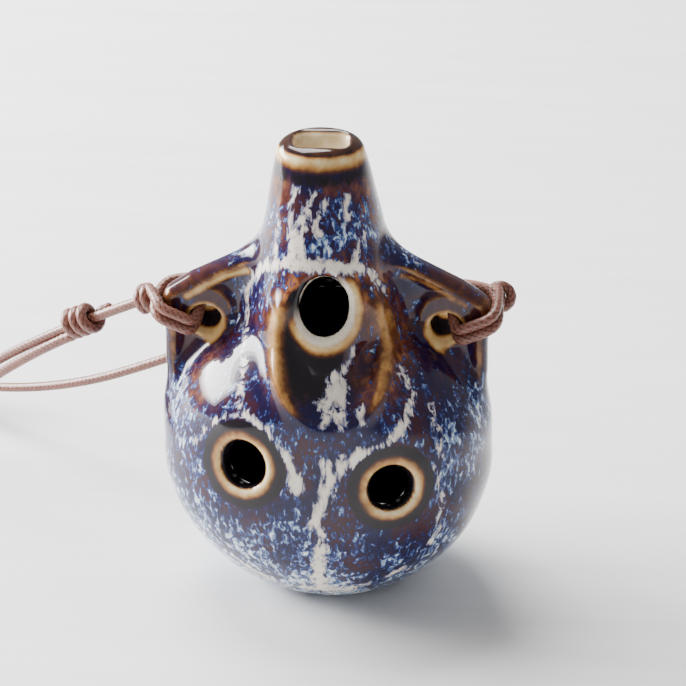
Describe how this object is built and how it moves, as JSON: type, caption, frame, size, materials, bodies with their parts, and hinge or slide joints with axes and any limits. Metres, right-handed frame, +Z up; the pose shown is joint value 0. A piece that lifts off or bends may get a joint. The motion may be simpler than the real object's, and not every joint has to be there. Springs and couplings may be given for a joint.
{
  "type": "pendant ocarina",
  "caption": "Small upright pear-shaped pendant ocarina of glazed clay, with a top mouthpiece, voicing window, thumb and finger holes, side lugs and a knotted neck cord.",
  "frame": {"origin": "on the flat foot, below the middle of the chamber", "axes": "+Z up along the mouthpiece, -Y is the thumb side with the voicing window, +X is to the right of someone looking at that side"},
  "size_m": [0.1172, 0.0714, 0.065],
  "materials": {
    "glazed_clay": "glossy dark blue-brown reaction glaze, breaking amber on edges and speckled with pale blue and cream",
    "waxed_cord": "reddish brown braided waxed cotton with a slight sheen",
    "tie_thread": "matt brown thread"
  },
  "bodies": {
    "ocarina": {"thumb_side_shell": "glazed_clay", "finger_side_shell": "glazed_clay", "mouthpiece": "glazed_clay", "left_lug": "glazed_clay", "right_lug": "glazed_clay", "left_ear_hitch": "waxed_cord", "right_ear_hitch": "waxed_cord", "left_cord": "waxed_cord", "right_cord": "waxed_cord", "right_cord_return": "waxed_cord", "cord_coil": "waxed_cord", "coil_tie": "tie_thread"},
    "left_knot": {"left_slide_knot": "waxed_cord"},
    "right_knot": {"right_slide_knot": "waxed_cord"}
  },
  "joints": [
    {"name": "left_knot_slide", "type": "slide", "parent": "ocarina", "child": "left_knot", "axis": [0.8078, -0.3505, 0.474], "range_m": [0, 0.007]},
    {"name": "right_knot_slide", "type": "slide", "parent": "ocarina", "child": "right_knot", "axis": [0.8642, -0.4671, 0.1869], "range_m": [0, 0.003]}
  ]
}
